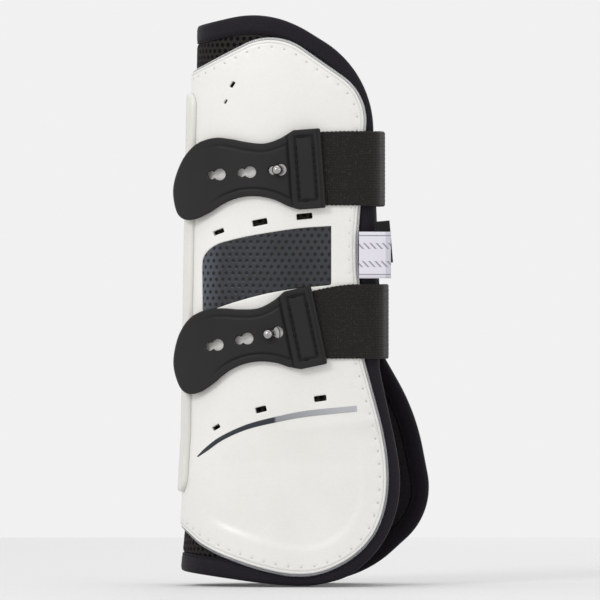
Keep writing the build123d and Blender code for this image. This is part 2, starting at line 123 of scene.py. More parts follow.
# ---------------------------------------------------------------- straps
TAB_EDGE = [
    (12, 19.2), (5, 15.6), (-3, 13.7), (-12, 15.1), (-19.5, 17.2), (-28, 18.4), (-37, 16), (-44, 9.4),
    (-48.8, 0), (-50.4, -8), (-49.2, -17), (-45.6, -21), (-40, -21.3),
    (-33, -18.8), (-24, -14.2), (-16, -12.2), (-8, -12.4), (0, -14.7), (6.5, -18.3), (12, -20.5),
]  # fmt: skip
TAB_FRONT = 25.3
TAB_GAP = 1.1
TAB_HEIGHT = 2.6
PANEL_BACK = 7.3  # where the end panel steps up, along the tab
PANEL_HEIGHT = 3.6
PANEL_FLOOR = 1.4
TAB_LIFT_TURN = math.radians(34)
TAB_TIP_RADIUS = 80.0
KEYHOLE_PITCH = 15.2
SMALL_LOBE, BIG_LOBE, LOBE_SPACING, KEYHOLE_NECK = 2.1, 2.9, 4.2, 1.6
ELASTIC_WIDTH = 37.0
ELASTIC_GAP = 0.5
ELASTIC_THICKNESS = 1.6
ELASTIC_CORNER = 7.5
RIB_PITCH = 2.1
ELASTIC_CROSS = math.radians(22)
ELASTIC_BACK_X = -1.5
ANCHOR_BACK_X = 6.0
STRAPS = [
    dict(name="upper", x=-13.85, z=207.0, tilt=4.2, elastic_z=189.6, corner_x=33.0, narrow=0.6),
    dict(name="lower", x=-15.35, z=125.6, tilt=12.0, elastic_z=113.3, corner_x=35.0, narrow=4.2),
]


# ---------------------------------------------------------------- geometry of the unrolled wall
def section(z):
    """Back, half width, back radius, where the side starts to turn, and the length behind that."""
    back = np.interp(z, LEVEL_Z, LEVEL_BACK)
    half = np.interp(z, LEVEL_Z, LEVEL_HALF)
    radius = (half - SIDE_RADIUS * (1 - math.cos(SIDE_TURN))) / math.cos(SIDE_TURN)
    start = back + radius + (SIDE_RADIUS - radius) * math.sin(SIDE_TURN)
    round_length = SIDE_RADIUS * SIDE_TURN + radius * (math.pi / 2 - SIDE_TURN)
    return back, half, radius, start, round_length


def unroll(x, z):
    """Distance round the wall from the middle of the back to x."""
    back, _, radius, start, _ = section(z)
    cheek_end = CHEEK_START + CHEEK_RADIUS * math.sin(CHEEK_TURN)
    side_end = start - SIDE_RADIUS * math.sin(SIDE_TURN)
    ahead = np.arcsin(np.clip((x - CHEEK_START) / CHEEK_RADIUS, 0, math.sin(CHEEK_TURN))) * CHEEK_RADIUS
    ahead += np.maximum(x - cheek_end, 0) / math.cos(CHEEK_TURN)
    flat = np.clip(x, start, CHEEK_START) - start
    side = (SIDE_TURN - np.arcsin(np.clip((start - x) / SIDE_RADIUS, 0, math.sin(SIDE_TURN)))) * SIDE_RADIUS
    turn = np.arcsin(np.clip((back + radius - x) / radius, math.sin(SIDE_TURN), 1))
    rounded = np.where(x < side_end, (math.pi / 2 - turn) * radius, radius * (math.pi / 2 - SIDE_TURN))
    return ahead + flat + side + rounded


def place(u, z, depth):
    """Points of the wall in space, a depth below the shell's outer face."""
    u, z = np.asarray(u, float), np.asarray(z, float)
    back, half, radius, start, round_length = section(z)
    behind = round_length + (CHEEK_START - start) - np.abs(u)
    cheek = np.clip(-behind / CHEEK_RADIUS, 0, CHEEK_TURN)
    ahead = np.maximum(-behind - CHEEK_RADIUS * CHEEK_TURN, 0)
    past_flat = behind - (CHEEK_START - start)
    side = np.clip(past_flat / SIDE_RADIUS, 0, SIDE_TURN)
    back_turn = SIDE_TURN + np.maximum(past_flat - SIDE_RADIUS * SIDE_TURN, 0) / radius
    x_front = CHEEK_START + CHEEK_RADIUS * np.sin(cheek) + ahead * math.cos(CHEEK_TURN)
    y_front = half - CHEEK_RADIUS * (1 - np.cos(cheek)) - ahead * math.sin(CHEEK_TURN)
    x_side = start - SIDE_RADIUS * np.sin(side)
    y_side = half - SIDE_RADIUS * (1 - np.cos(side))
    x_back = back + radius - radius * np.sin(back_turn)
    y_back = radius * np.cos(back_turn)
    on_back = past_flat > SIDE_RADIUS * SIDE_TURN
    on_side = (past_flat > 0) & ~on_back
    on_front = behind < 0
    x = np.select([on_back, on_side, on_front], [x_back, x_side, x_front], CHEEK_START - behind)
    y = np.select([on_back, on_side, on_front], [y_back, y_side, y_front], half)
    turn = np.select([on_back, on_side, on_front], [-back_turn, -side, cheek], 0.0)
    x = x - np.where(on_front, 0, depth * np.sin(turn))
    y = y - np.where(on_front, depth / np.cos(turn), depth * np.cos(turn))
    return np.stack([x, MID_Y + np.where(u < 0, -1, 1) * y, z + 0 * x], -1)


def rounded(corners, closed=False, step=0.25):
    """A dense line through corners given as x, z and radius."""
    points = []
    count = len(corners)
    for i, (x, z, radius) in enumerate(corners):
        here = np.array((x, z), float)
        if radius == 0 or (not closed and i in (0, count - 1)):
            points.append(here)
            continue
        before = np.array(corners[i - 1][:2], float) - here
        after = np.array(corners[(i + 1) % count][:2], float) - here
        before /= np.linalg.norm(before)
        after /= np.linalg.norm(after)
        half_angle = math.acos(np.clip(before @ after, -1, 1)) / 2
        reach = radius / math.tan(half_angle)
        middle = (before + after) / np.linalg.norm(before + after)
        centre = here + middle * radius / math.sin(half_angle)
        first, last = here + before * reach - centre, here + after * reach - centre
        sweep = math.pi - 2 * half_angle
        for share in np.linspace(0, 1, max(3, int(radius * sweep / step))):
            mix = math.sin((1 - share) * sweep) * first + math.sin(share * sweep) * last
            points.append(centre + mix / math.sin(sweep))
    return np.array(points)


def lengths_along(line):
    """Distance along a line to each of its points."""
    return np.concatenate([[0], np.cumsum(np.linalg.norm(np.diff(line, axis=0), axis=1))])


def resample(points, step, closed=True):
    """The same line with points at an even spacing near step."""
    line = np.vstack([points, points[:1]]) if closed else np.asarray(points)
    lengths = lengths_along(line)
    count = max(4, int(round(lengths[-1] / step)))
    at = np.linspace(0, lengths[-1], count + 1)
    if closed:
        at = at[:-1]
    return np.stack([np.interp(at, lengths, line[:, k]) for k in range(line.shape[1])], 1)


def anticlockwise(loop):
    """The loop turned to run anticlockwise."""
    x, z = loop[:, 0], loop[:, 1]
    area = (x * np.roll(z, -1) - np.roll(x, -1) * z).sum()
    return loop if area > 0 else loop[::-1]


def inward(loop):
    """Unit normals that point into an anticlockwise loop."""
    along = np.roll(loop, -1, 0) - np.roll(loop, 1, 0)
    along /= np.linalg.norm(along, axis=1)[:, None]
    return np.stack([-along[:, 1], along[:, 0]], 1)


def inset_loop(loop, inset):
    """An anticlockwise loop drawn in by an inset, less at corners too tight for it."""
    normal = inward(loop)
    spacing = np.linalg.norm(np.roll(loop, -1, 0) - loop, axis=1).mean()
    for _ in range(int(2 * (inset / spacing) ** 2)):
        normal = (np.roll(normal, 1, 0) + 2 * normal + np.roll(normal, -1, 0)) / 4
    return loop + normal * inset


def ridge(away, width):
    """A smooth ridge of height 1 where the distance away is 0."""
    return np.exp(-((away / width) ** 2))


def wall_loop(edges, curve, step):
    """A wall's whole outline, unrolled: down the outer side's front and back up the inner side's."""
    halves = []
    outer = np.vstack([rounded(edges["top"] + edges["lateral"])[:-1], curve_through(curve)])
    inner = rounded(edges["top"] + edges["medial"] + edges["bottom"])
    for drawn, sign in ((outer, -1), (inner, 1)):
        line = resample(drawn, 0.05, closed=False)
        line = line[line[:, 0] >= section(line[:, 1])[0]]
        halves.append(np.stack([sign * unroll(line[:, 0], line[:, 1]), line[:, 1]], 1))
    # The two sides' lower edges meet at one height in the middle of the back
    meeting = (halves[0][-1, 1] + halves[1][-1, 1]) / 2
    for half in halves:
        low = half[:, 1] < MEETING_BELOW
        half[low, 1] += (meeting - half[-1, 1]) * ridge(half[low, 0], MEETING_WIDTH)
    return anticlockwise(resample(np.vstack([halves[0], halves[1][::-1]]), step))


def side_loop(line, sign, step):
    """A loop drawn as x and z on one side of the boot, unrolled."""
    dense = resample(line, 0.1)
    flat = np.stack([sign * unroll(dense[:, 0], dense[:, 1]), dense[:, 1]], 1)
    return anticlockwise(resample(flat, step))


def box_loop(half, low, high, corner, step):
    """An upright box about the middle of the back, with rounded corners."""
    box = [(-half, low, corner), (half, low, corner), (half, high, corner), (-half, high, corner)]
    return anticlockwise(resample(rounded(box, True), step))


def curve_through(points, count=12):
    """A smooth open line through points."""
    points = np.asarray(points, float)
    ends = np.vstack([points[0] * 2 - points[1], points, points[-1] * 2 - points[-2]])
    line = []
    for p0, p1, p2, p3 in zip(ends, ends[1:], ends[2:], ends[3:]):
        for t in np.linspace(0, 1, count, endpoint=False):
            curve = 2 * p1 + (p2 - p0) * t + (2 * p0 - 5 * p1 + 4 * p2 - p3) * t**2
            line.append((curve + (3 * p1 - p0 - 3 * p2 + p3) * t**3) / 2)
    return np.vstack([line, points[-1:]])


def inside(points, loops):
    """Which points lie inside an odd number of loops."""
    odd = np.zeros(len(points), bool)
    for loop in loops:
        for (ax, az), (bx, bz) in zip(loop, np.roll(loop, -1, 0)):
            crosses = (az > points[:, 1]) != (bz > points[:, 1])
            if az != bz:
                odd ^= crosses & (points[:, 0] < (bx - ax) * (points[:, 1] - az) / (bz - az) + ax)
    return odd


def nearest(points, targets):
    """Distance from each point to the nearest target."""
    tree = KDTree(len(targets))
    for i, (x, z) in enumerate(targets):
        tree.insert((x, z, 0), i)
    tree.balance()
    return np.array([tree.find((x, z, 0))[2] for x, z in points])


ROW_SPACING = 0.866  # rows of a triangular grid, in steps


def fill(loops, step, extra=None):
    """Triangles that fill the first loop less the others: points, the loops' own first, and faces."""
    rim = np.vstack(loops)
    low, high = loops[0].min(0), loops[0].max(0)
    grid = []
    for i, z in enumerate(np.arange(low[1], high[1], step * ROW_SPACING)):
        across = np.arange(low[0] + (i % 2) * step / 2, high[0], step)
        grid.append(np.stack([across, 0 * across + z], 1))
    grid = np.vstack(grid)
    grid = grid[inside(grid, loops)]
    grid = grid[nearest(grid, rim) > 0.6 * step]
    if extra is not None and len(extra):
        extra = extra[inside(extra, loops)]
        extra = extra[nearest(extra, rim) > 0.15]
        grid = np.vstack([grid[nearest(grid, extra) > 0.45 * step], extra])
    points = np.vstack([rim, grid])
    edges, first = [], 0
    for loop in loops:
        edges += [(first + i, first + (i + 1) % len(loop)) for i in range(len(loop))]
        first += len(loop)
    result = delaunay_2d_cdt([Vector(p) for p in points], edges, [], 0, 1e-6)
    if len(result[0]) != len(points):
        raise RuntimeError("an outline crosses itself")
    faces = np.array([ids[0] for ids in result[3]])[np.array(result[2])]
    return points, faces[inside(points[faces].mean(1), loops)]


def make(name, points, faces, material, uv=None, smooth=True):
    """A mesh object from points in millimetres."""
    mesh = bpy.data.meshes.new(name)
    mesh.from_pydata((np.asarray(points) * MM).tolist(), [], [[int(i) for i in face] for face in faces])
    mesh.validate()
    mesh.polygons.foreach_set("use_smooth", [smooth] * len(mesh.polygons))
    if uv is not None:
        layer = mesh.uv_layers.new(name="Unrolled")
        corners = np.zeros(len(mesh.loops), int)
        mesh.loops.foreach_get("vertex_index", corners)
        layer.data.foreach_set("uv", (np.asarray(uv)[corners] / UV_UNIT).astype(np.float32).ravel())
    mesh.materials.append(material)
    obj = bpy.data.objects.new(name, mesh)
    bpy.context.scene.collection.objects.link(obj)
    return obj


def slab(
    name, loops, profile, top, bottom, material, step,
    shape=place, hole_profile=None, extra=None, floor_step=None, shade=None,
):  # fmt: skip
    """A closed piece between two faces of a wall, with an edge profile of inset and drop from its top face.

    top and bottom are functions of u and z. Loops after the first are holes.
    """
    uv, depths, faces, inner = [], [], [], []
    count = 0
    base_loops, base_ids = [], []
    for number, loop in enumerate(loops):
        rows = profile if number == 0 or hole_profile is None else hole_profile
        sign = 1 if number == 0 else -1
        previous = None
        for inset, drop in [(rows[0][0], None), *rows]:
            ring = loop(inset) if callable(loop) else inset_loop(loop, sign * inset)
            ids = count + np.arange(len(ring))
            uv.append(ring)
            is_floor = drop is None
            depths.append(bottom(*ring.T) if is_floor else top(*ring.T) + drop)
            count += len(ring)
            if previous is not None:
                quads = np.stack([previous, np.roll(previous, -1), np.roll(ids, -1), ids], 1)
                faces += (quads if number == 0 else quads[:, ::-1]).tolist()
            if is_floor:
                base_loops.append(ring)
                base_ids.append(ids)
            previous = ids
        inner.append((ring, previous))
    rim_ids = np.concatenate([ids for _, ids in inner])
    points, triangles = fill([ring for ring, _ in inner], step, extra)
    new = points[len(rim_ids):]
    uv.append(new)
    depths.append(top(*new.T))
    index = np.concatenate([rim_ids, count + np.arange(len(new))])
    count += len(new)
    faces += index[triangles].tolist()
    rim_ids = np.concatenate(base_ids)
    points, triangles = fill(base_loops, floor_step or 2.5 * step)
    new = points[len(rim_ids):]
    uv.append(new)
    depths.append(bottom(*new.T))
    index = np.concatenate([rim_ids, count + np.arange(len(new))])
    faces += index[triangles][:, ::-1].tolist()
    uv, depths = np.vstack(uv), np.concatenate(depths)
    obj = make(name, shape(*uv.T, depths), faces, material, uv)
    # shade, when given, is painted shade, stored as a point attribute for the material.
    if shade is not None:
        attribute = obj.data.attributes.new("shade", "FLOAT", "POINT")
        attribute.data.foreach_set("value", shade(*uv.T).astype(np.float32))
    outward(obj)
    return obj


def outward(obj):
    """Turns all faces outward."""
    b = bmesh.new()
    b.from_mesh(obj.data)
    bmesh.ops.recalc_face_normals(b, faces=b.faces)
    b.to_mesh(obj.data)
    b.free()


def sweep(name, loop, outline, material, shape=place):
    """A closed band that follows a loop; outline is a closed line of inset and depth."""
    outline = np.asarray(outline, float)
    rings = [inset_loop(loop, inset) for inset, _ in outline]
    uv = np.stack(rings, 1)
    depth = np.repeat(outline[None, :, 1], len(loop), 0)
    points = shape(uv[:, :, 0], uv[:, :, 1], depth).reshape(-1, 3)
    n, m = len(loop), len(outline)
    along, around = np.meshgrid(lengths_along(loop), lengths_along(outline), indexing="ij")
    flat = np.stack([along, around], -1).reshape(-1, 2)
    faces = [
        (i * m + j, i * m + (j + 1) % m, (i + 1) % n * m + (j + 1) % m, (i + 1) % n * m + j)
        for i in range(n)
        for j in range(m)
    ]
    obj = make(name, points, faces, material, flat)
    outward(obj)
    return obj


def constant(value):
    """A face at one depth."""
    return lambda u, z: 0 * u + value


def threads(name, starts, ends, ups, radius, material):
    """Short stitches: tapered threads that arch from one point to the next."""
    points, faces = [], []
    shares = ((0.0, 0.35, -0.6), (0.15, 0.9, 0.1), (0.5, 1.0, 0.35), (0.85, 0.9, 0.1), (1.0, 0.35, -0.6))
    sides = 6
    for start, end, up in zip(starts, ends, ups):
        along = end - start
        across = np.cross(along, up)
        across /= np.linalg.norm(across)
        first = len(points)
        for share, size, lift in shares:
            centre = start + along * share + up * lift * radius
            for k in range(sides):
                a = 2 * math.pi * k / sides
                points.append(centre + size * radius * (math.cos(a) * across + math.sin(a) * up))
        for ring in range(len(shares) - 1):
            for k in range(sides):
                a, b = first + ring * sides + k, first + ring * sides + (k + 1) % sides
                faces.append((a, b, b + sides, a + sides))
        faces.append([first + k for k in range(sides)][::-1])
        faces.append([first + (len(shares) - 1) * sides + k for k in range(sides)])
    obj = make(name, points, faces, material)
    outward(obj)
    return obj


def stitch_line(line, depth, length, gap, shape=place):
    """Starts, ends and outward directions of stitches laid along an open line of u and z."""
    line = np.asarray(line, float)
    lengths = lengths_along(line)
    at = np.arange(gap / 2, lengths[-1] - length, length + gap)

    def point(where, d):
        u, z = (np.interp(where, lengths, line[:, k]) for k in range(2))
        return shape(u, z, d + 0 * where)

    starts, ends = point(at, depth), point(at + length, depth)
    ups = point(at + length / 2, depth - 1) - point(at + length / 2, depth)
    return starts, ends, ups / np.linalg.norm(ups, axis=1)[:, None]


def sewn_rows(name, rows, depth, length, gap, shape, radius, material):
    """Stitches along straight rows, each given by its two ends, on a face whose depth grows outward."""
    lines = [resample(np.array(row, float), 0.5, closed=False) for row in rows]
    parts = [stitch_line(line, depth, length, gap, shape=shape) for line in lines]
    starts, ends, ups = (np.vstack([part[k] for part in parts]) for k in range(3))
    return threads(name, starts, ends, -ups, radius, material)


def strip(name, points, uv, rows, columns, material):
    """A closed strip from two faces of rows by columns of points, the first face's points first."""
    grid = np.arange(2 * rows * columns).reshape(2, rows, columns)
    faces = []
    for k in (0, 1):
        corners = [grid[k, :-1, :-1], grid[k, :-1, 1:], grid[k, 1:, 1:], grid[k, 1:, :-1]]
        quads = np.stack(corners, -1).reshape(-1, 4)
        faces += quads.tolist() if k == 0 else quads[:, ::-1].tolist()
    one, other = grid
    edges = [(one[0], other[0]), (other[-1], one[-1]), (other[:, 0], one[:, 0]), (one[:, -1], other[:, -1])]
    for a, b in edges:
        faces += np.stack([a[:-1], b[:-1], b[1:], a[1:]], -1).tolist()
    obj = make(name, np.vstack(points), faces, material, np.vstack(uv))
    outward(obj)
    return obj


# ---------------------------------------------------------------- materials
def new_material(name, **constants):
    """A material whose shader inputs are set to the constants."""
    material = bpy.data.materials.new(name)
    material.use_nodes = True
    shader = material.node_tree.nodes["Principled BSDF"]
    for key, value in constants.items():
        shader.inputs[key.replace("_", " ")].default_value = value
    return material


def add_node(material, kind, inputs=None, **settings):
    """A node with its settings; an input is a value or another node's output."""
    node = material.node_tree.nodes.new(kind)
    for key, value in settings.items():
        setattr(node, key, value)
    for key, value in (inputs or {}).items():
        if isinstance(value, bpy.types.NodeSocket):
            material.node_tree.links.new(value, node.inputs[key])
        else:
            node.inputs[key].default_value = value
    return node


def to_shader(material, **outputs):
    """Joins nodes' outputs to the shader's inputs."""
    shader = material.node_tree.nodes["Principled BSDF"]
    for key, value in outputs.items():
        material.node_tree.links.new(value, shader.inputs[key.replace("_", " ")])


def maths(material, operation, a, b=0.0, c=0.0):
    """A sum over values or other nodes' outputs."""
    return add_node(material, "ShaderNodeMath", {0: a, 1: b, 2: c}, operation=operation).outputs[0]


def times(material, a, b):
    """a times b."""
    return maths(material, "MULTIPLY", a, b)


def less(material, a, b):
    """a less b."""
    return maths(material, "SUBTRACT", a, b)


def scatter(material, scale, detail=3.0, roughness=0.55, stretch=(1, 1, 1)):
    """Noise over the object, with features about 1/scale metres across."""
    place_node = add_node(material, "ShaderNodeTexCoord").outputs["Object"]
    mapped = add_node(material, "ShaderNodeMapping", {"Vector": place_node, "Scale": stretch}).outputs[0]
    inputs = {"Vector": mapped, "Scale": scale, "Detail": detail, "Roughness": roughness}
    return add_node(material, "ShaderNodeTexNoise", inputs).outputs["Fac"]


def ramp(material, fac, stops):
    """A colour ramp; each stop is a position and a colour."""
    node = add_node(material, "ShaderNodeValToRGB", {"Fac": fac})
    while len(node.color_ramp.elements) < len(stops):
        node.color_ramp.elements.new(0.5)
    for element, (position, colour) in zip(node.color_ramp.elements, stops):
        element.position = position
        element.color = (*colour, 1)
    return node.outputs["Color"]


def fit(material, value, low, high, new_low, new_high):
    """value taken from one range to another, and held inside it."""
    inputs = {"Value": value, 1: low, 2: high, 3: new_low, 4: new_high}
    return add_node(material, "ShaderNodeMapRange", inputs).outputs[0]


def mix(material, fac, a, b):
    """Colour a where fac is 0 and b where it is 1."""
    node = add_node(material, "ShaderNodeMix", data_type="RGBA")
    for key, value in ((0, fac), (6, a), (7, b)):
        if isinstance(value, bpy.types.NodeSocket):
            material.node_tree.links.new(value, node.inputs[key])
        else:
            node.inputs[key].default_value = value if key == 0 else (*value, 1)
    return node.outputs[2]


def bump(material, height, strength, distance):
    """Bumps up to a distance in millimetres."""
    inputs = {"Height": height, "Strength": strength, "Distance": distance * MM}
    to_shader(material, Normal=add_node(material, "ShaderNodeBump", inputs).outputs[0])


def surface(material, colour, wear, rough, height, strength, distance):
    """Colour, a roughness that runs over a range with wear, and bumps."""
    to_shader(material, Base_Color=colour, Roughness=fit(material, wear, 0.3, 0.7, *rough))
    bump(material, height, strength, distance)
    return material


def unrolled(material):
    """u and z of the surface in millimetres."""
    uv = add_node(material, "ShaderNodeUVMap", uv_map="Unrolled").outputs[0]
    parts = add_node(material, "ShaderNodeSeparateXYZ", {0: uv})
    return tuple(times(material, part, UV_UNIT) for part in parts.outputs[:2])


def dots(material, pitch, radius, soft):
    """1 inside round dots on a staggered grid over u and z, and 0 between them."""
    u, z = unrolled(material)
    nearest_dot = None
    for shift in (0.0, 0.5):
        cells = []
        for value, size in ((u, pitch), (z, pitch * 2 * ROW_SPACING)):
            count = maths(material, "DIVIDE", value, size)
            cell = maths(material, "FRACT", maths(material, "ADD", count, shift + 20.0))
            cells.append(times(material, less(material, cell, 0.5), size))
        squares = [times(material, cell, cell) for cell in cells]
        distance = maths(material, "SQRT", maths(material, "ADD", *squares))
        nearest_dot = distance if nearest_dot is None else maths(material, "MINIMUM", nearest_dot, distance)
    return fit(material, nearest_dot, radius - soft, radius + soft, 1.0, 0.0)


def waves(material, value, pitch):
    """A smooth ridge every pitch millimetres, from 0 to 1."""
    turned = maths(material, "SINE", times(material, value, 2 * math.pi / pitch))
    return maths(material, "MULTIPLY_ADD", turned, 0.5, 0.5)


def unrolled_height(material):
    """Height above the ground in metres."""
    at = add_node(material, "ShaderNodeTexCoord").outputs["Object"]
    return add_node(material, "ShaderNodeSeparateXYZ", {0: at}).outputs[2]


def shell_material():
    m = new_material("shell_tpu", Coat_Weight=0.22, Coat_Roughness=0.2, Specular_IOR_Level=0.45)
    broad, fine = scatter(m, 18), scatter(m, 900, 4)
    colour = ramp(m, broad, [(0.3, (0.745, 0.735, 0.70)), (0.7, (0.79, 0.78, 0.755))])
    speck = ramp(m, fine, [(0.35, (0.975, 0.975, 0.97)), (0.6, (1, 1, 1))])
    inputs = {0: 1.0, 6: colour, 7: speck}
    tinted = add_node(m, "ShaderNodeMix", inputs, data_type="RGBA", blend_type="MULTIPLY")
    return surface(m, tinted.outputs[2], broad, (0.3, 0.42), fine, 0.12, 0.04)


def spine_material():
    m = new_material("spine_tpu", Coat_Weight=0.2, Coat_Roughness=0.25)
    broad, fine = scatter(m, 25), scatter(m, 800, 4)
    colour = ramp(m, broad, [(0.3, (0.64, 0.63, 0.585)), (0.7, (0.71, 0.70, 0.66))])
    return surface(m, colour, fine, (0.28, 0.45), fine, 0.2, 0.05)


def rim_material():
    m = new_material("clear_tpu", Coat_Weight=0.6, Coat_Roughness=0.08, Transmission_Weight=0.35, IOR=1.45)
    broad, fine = scatter(m, 60), scatter(m, 700)
    # Partly painted reflection: low on the edge, the grey stands for the black liner seen through the clear
    # plastic, lightened by painted reflections; higher up, the edge is pale.
    grey = ramp(m, broad, [(0.3, (0.20, 0.21, 0.24)), (0.7, (0.42, 0.43, 0.45))])
    low = fit(m, unrolled_height(m), 0.05, 0.14, 1.0, 0.0)
    colour = mix(m, low, (0.62, 0.63, 0.63), grey)
    return surface(m, colour, fine, (0.14, 0.28), fine, 0.15, 0.05)


def window_material():
    m = new_material("window_tpu", Coat_Weight=0.15, Coat_Roughness=0.12, Specular_IOR_Level=0.3)
    u, _ = unrolled(m)
    reach = maths(m, "ABSOLUTE", u)
    smoke = scatter(m, 45)
    # Painted reflection: near the back, where the clear face turns round, the window is lighter and bluer;
    # clear is 1 there and fades out further forward.
    clear = fit(m, reach, 19.0, 34.0, 1.0, 0.0)
    body = ramp(m, smoke, [(0.3, (0.018, 0.020, 0.026)), (0.7, (0.030, 0.033, 0.040))])
    base = mix(m, clear, body, (0.085, 0.10, 0.125))
    colour = mix(m, dots(m, 3.6, 0.95, 0.16), base, (0.001, 0.001, 0.002))
    return surface(m, colour, smoke, (0.22, 0.34), less(m, 1.0, dots(m, 3.6, 0.9, 0.2)), 0.6, 0.15)


def accent_material():
    m = new_material("accent_foil", Metallic=0.55, Coat_Weight=0.3, Coat_Roughness=0.15)
    u, _ = unrolled(m)
    reach = maths(m, "ABSOLUTE", u)
    grain = scatter(m, 1200, 3, 0.6, (1, 1, 6))
    wobble = maths(m, "MULTIPLY_ADD", scatter(m, 120), 4.0, reach)
    # Painted reflection: the accent is dark towards the back and silver towards the front, brighter the
    # further forward; the silver is a painted reflection on its clear face.
    painted_reflection_mask = fit(m, wobble, 64.6, 66.2, 0.0, 1.0)
    painted_reflection_ramp = fit(m, reach, 64.0, 96.0, 0.25, 0.95)
    painted_reflection = mix(m, painted_reflection_ramp, (0.20, 0.21, 0.23), (0.46, 0.47, 0.49))
    colour = mix(m, painted_reflection_mask, (0.020, 0.025, 0.034), painted_reflection)
    return surface(m, colour, grain, (0.26, 0.4), grain, 0.15, 0.04)


def neoprene_material():
    m = new_material("neoprene", Specular_IOR_Level=0.12)
    hole = dots(m, 3.5, 1.0, 0.2)
    knit = scatter(m, 1500, 4, 0.7)
    broad = scatter(m, 40)
    light = mix(m, broad, (0.018, 0.017, 0.016), (0.027, 0.025, 0.023))
    woven = mix(m, fit(m, knit, 0.35, 0.65, 0.0, 0.5), light, (0.012, 0.011, 0.010))
    colour = mix(m, hole, woven, (0.001, 0.001, 0.001))
    to_shader(m, Base_Color=colour, Roughness=fit(m, knit, 0.3, 0.7, 0.75, 0.95))
    height = maths(m, "MULTIPLY_ADD", knit, 0.18, less(m, 1.0, hole))
    bump(m, height, 0.9, 0.5)
    return m


def lining_material():
    m = new_material("lining_fabric", Sheen_Weight=0.15, Sheen_Roughness=0.4, Specular_IOR_Level=0.1)
    fuzz = scatter(m, 1400, 6, 0.75)
    nap = scatter(m, 90, 4)
    base = mix(m, nap, (0.006, 0.005, 0.006), (0.016, 0.014, 0.017))
    colour = mix(m, fit(m, fuzz, 0.4, 0.65, 0.0, 0.6), base, (0.036, 0.033, 0.037))
    return surface(m, colour, fuzz, (0.85, 1.0), maths(m, "MULTIPLY_ADD", nap, 0.8, fuzz), 0.8, 0.5)


def binding_material():
    m = new_material("binding_tape", Sheen_Weight=0.04, Sheen_Roughness=0.35, Specular_IOR_Level=0.14)
    along, around = unrolled(m)
    ribs = waves(m, around, 0.85)
    knit = waves(m, along, 0.6)
    broad = scatter(m, 70)
    dark = mix(m, broad, (0.006, 0.005, 0.008), (0.011, 0.009, 0.013))
    colour = mix(m, times(m, ribs, 0.4), dark, (0.022, 0.019, 0.027))
    to_shader(m, Base_Color=colour, Roughness=fit(m, scatter(m, 900), 0.3, 0.7, 0.55, 0.75))
    bump(m, maths(m, "MULTIPLY_ADD", knit, 0.3, ribs), 0.5, 0.16)
    return m


def elastic_material():
    m = new_material("elastic_webbing", Sheen_Weight=0.1, Sheen_Roughness=0.45, Specular_IOR_Level=0.2)
    along, across = unrolled(m)
    course = waves(m, along, 0.9)
    wales = waves(m, across, 0.8)
    weave = times(m, course, wales)
    fleck = scatter(m, 1100, 3, 0.6)
    dark = mix(m, weave, (0.007, 0.006, 0.005), (0.026, 0.023, 0.020))
    colour = mix(m, fit(m, fleck, 0.52, 0.68, 0.0, 0.5), dark, (0.052, 0.047, 0.040))
    return surface(m, colour, fleck, (0.7, 0.9), maths(m, "MULTIPLY_ADD", fleck, 0.3, weave), 0.8, 0.3)


def rubber_material():
    m = new_material("strap_rubber", Specular_IOR_Level=0.16)
    grain, broad = scatter(m, 1300, 4, 0.6), scatter(m, 35)
    plain = mix(m, broad, (0.015, 0.014, 0.0145), (0.023, 0.0215, 0.022))
    # Painted shade: the shade attribute darkens the rubber in its grooves, panel step and seam, where shade
    # falls.
    groove = add_node(m, "ShaderNodeAttribute", attribute_name="shade").outputs["Fac"]
    colour = mix(m, times(m, groove, 0.85), plain, (0.002, 0.002, 0.002))
    return surface(m, colour, broad, (0.42, 0.56), grain, 0.35, 0.06)


def thread_material(name, dark, light):
    m = new_material(name, Specular_IOR_Level=0.1)
    twist = scatter(m, 1600, 3, 0.6)
    return surface(m, mix(m, twist, dark, light), twist, (0.55, 0.8), twist, 0.5, 0.08)


def metal_material():
    m = new_material("stud_metal", Metallic=1.0)
    painted_reflection_noise, fine = scatter(m, 300), scatter(m, 2500)
    # Painted dark reflections: the chrome's colour is kept dark and mottled to stand for dark surroundings
    # mirrored in the stud.
    colour = ramp(m, painted_reflection_noise, [(0.3, (0.34, 0.33, 0.33)), (0.7, (0.48, 0.47, 0.46))])
    return surface(m, colour, painted_reflection_noise, (0.08, 0.2), fine, 0.05, 0.02)


def label_material():
    """Satin weave with a border and a generic woven band of slanted bars."""
    m = new_material("label_fabric", Sheen_Weight=0.3)
    x, z = unrolled(m)
    weave = times(m, waves(m, x, 0.45), waves(m, z, 0.4))
    slant = maths(m, "GREATER_THAN", waves(m, maths(m, "ADD", x, z), 3.2), 0.72)
    across = maths(m, "ABSOLUTE", less(m, z, 11.6))
    in_band = maths(m, "LESS_THAN", maths(m, "ABSOLUTE", less(m, across, 4.5)), 1.5)
    line = maths(m, "LESS_THAN", maths(m, "ABSOLUTE", less(m, across, 9.7)), 0.3)
    end_band = maths(m, "GREATER_THAN", x, 13.6)
    marks = maths(m, "MAXIMUM", times(m, slant, in_band), line)
    white = mix(m, weave, (0.66, 0.64, 0.71), (0.82, 0.80, 0.87))
    banded = mix(m, times(m, end_band, 0.45), white, (0.35, 0.35, 0.40))
    colour = mix(m, times(m, marks, 0.75), banded, (0.16, 0.16, 0.19))
    to_shader(m, Base_Color=colour, Roughness=fit(m, weave, 0.0, 1.0, 0.5, 0.7))
    bump(m, weave, 0.4, 0.08)
    return m


def backing_material():
    m = new_material("label_backing", Specular_IOR_Level=0.15)
    x, z = unrolled(m)
    weave = times(m, waves(m, x, 0.5), waves(m, z, 0.5))
    colour = mix(m, weave, (0.006, 0.006, 0.007), (0.018, 0.018, 0.019))
    to_shader(m, Base_Color=colour, Roughness=fit(m, weave, 0, 1, 0.5, 0.75))
    bump(m, weave, 0.4, 0.08)
    return m


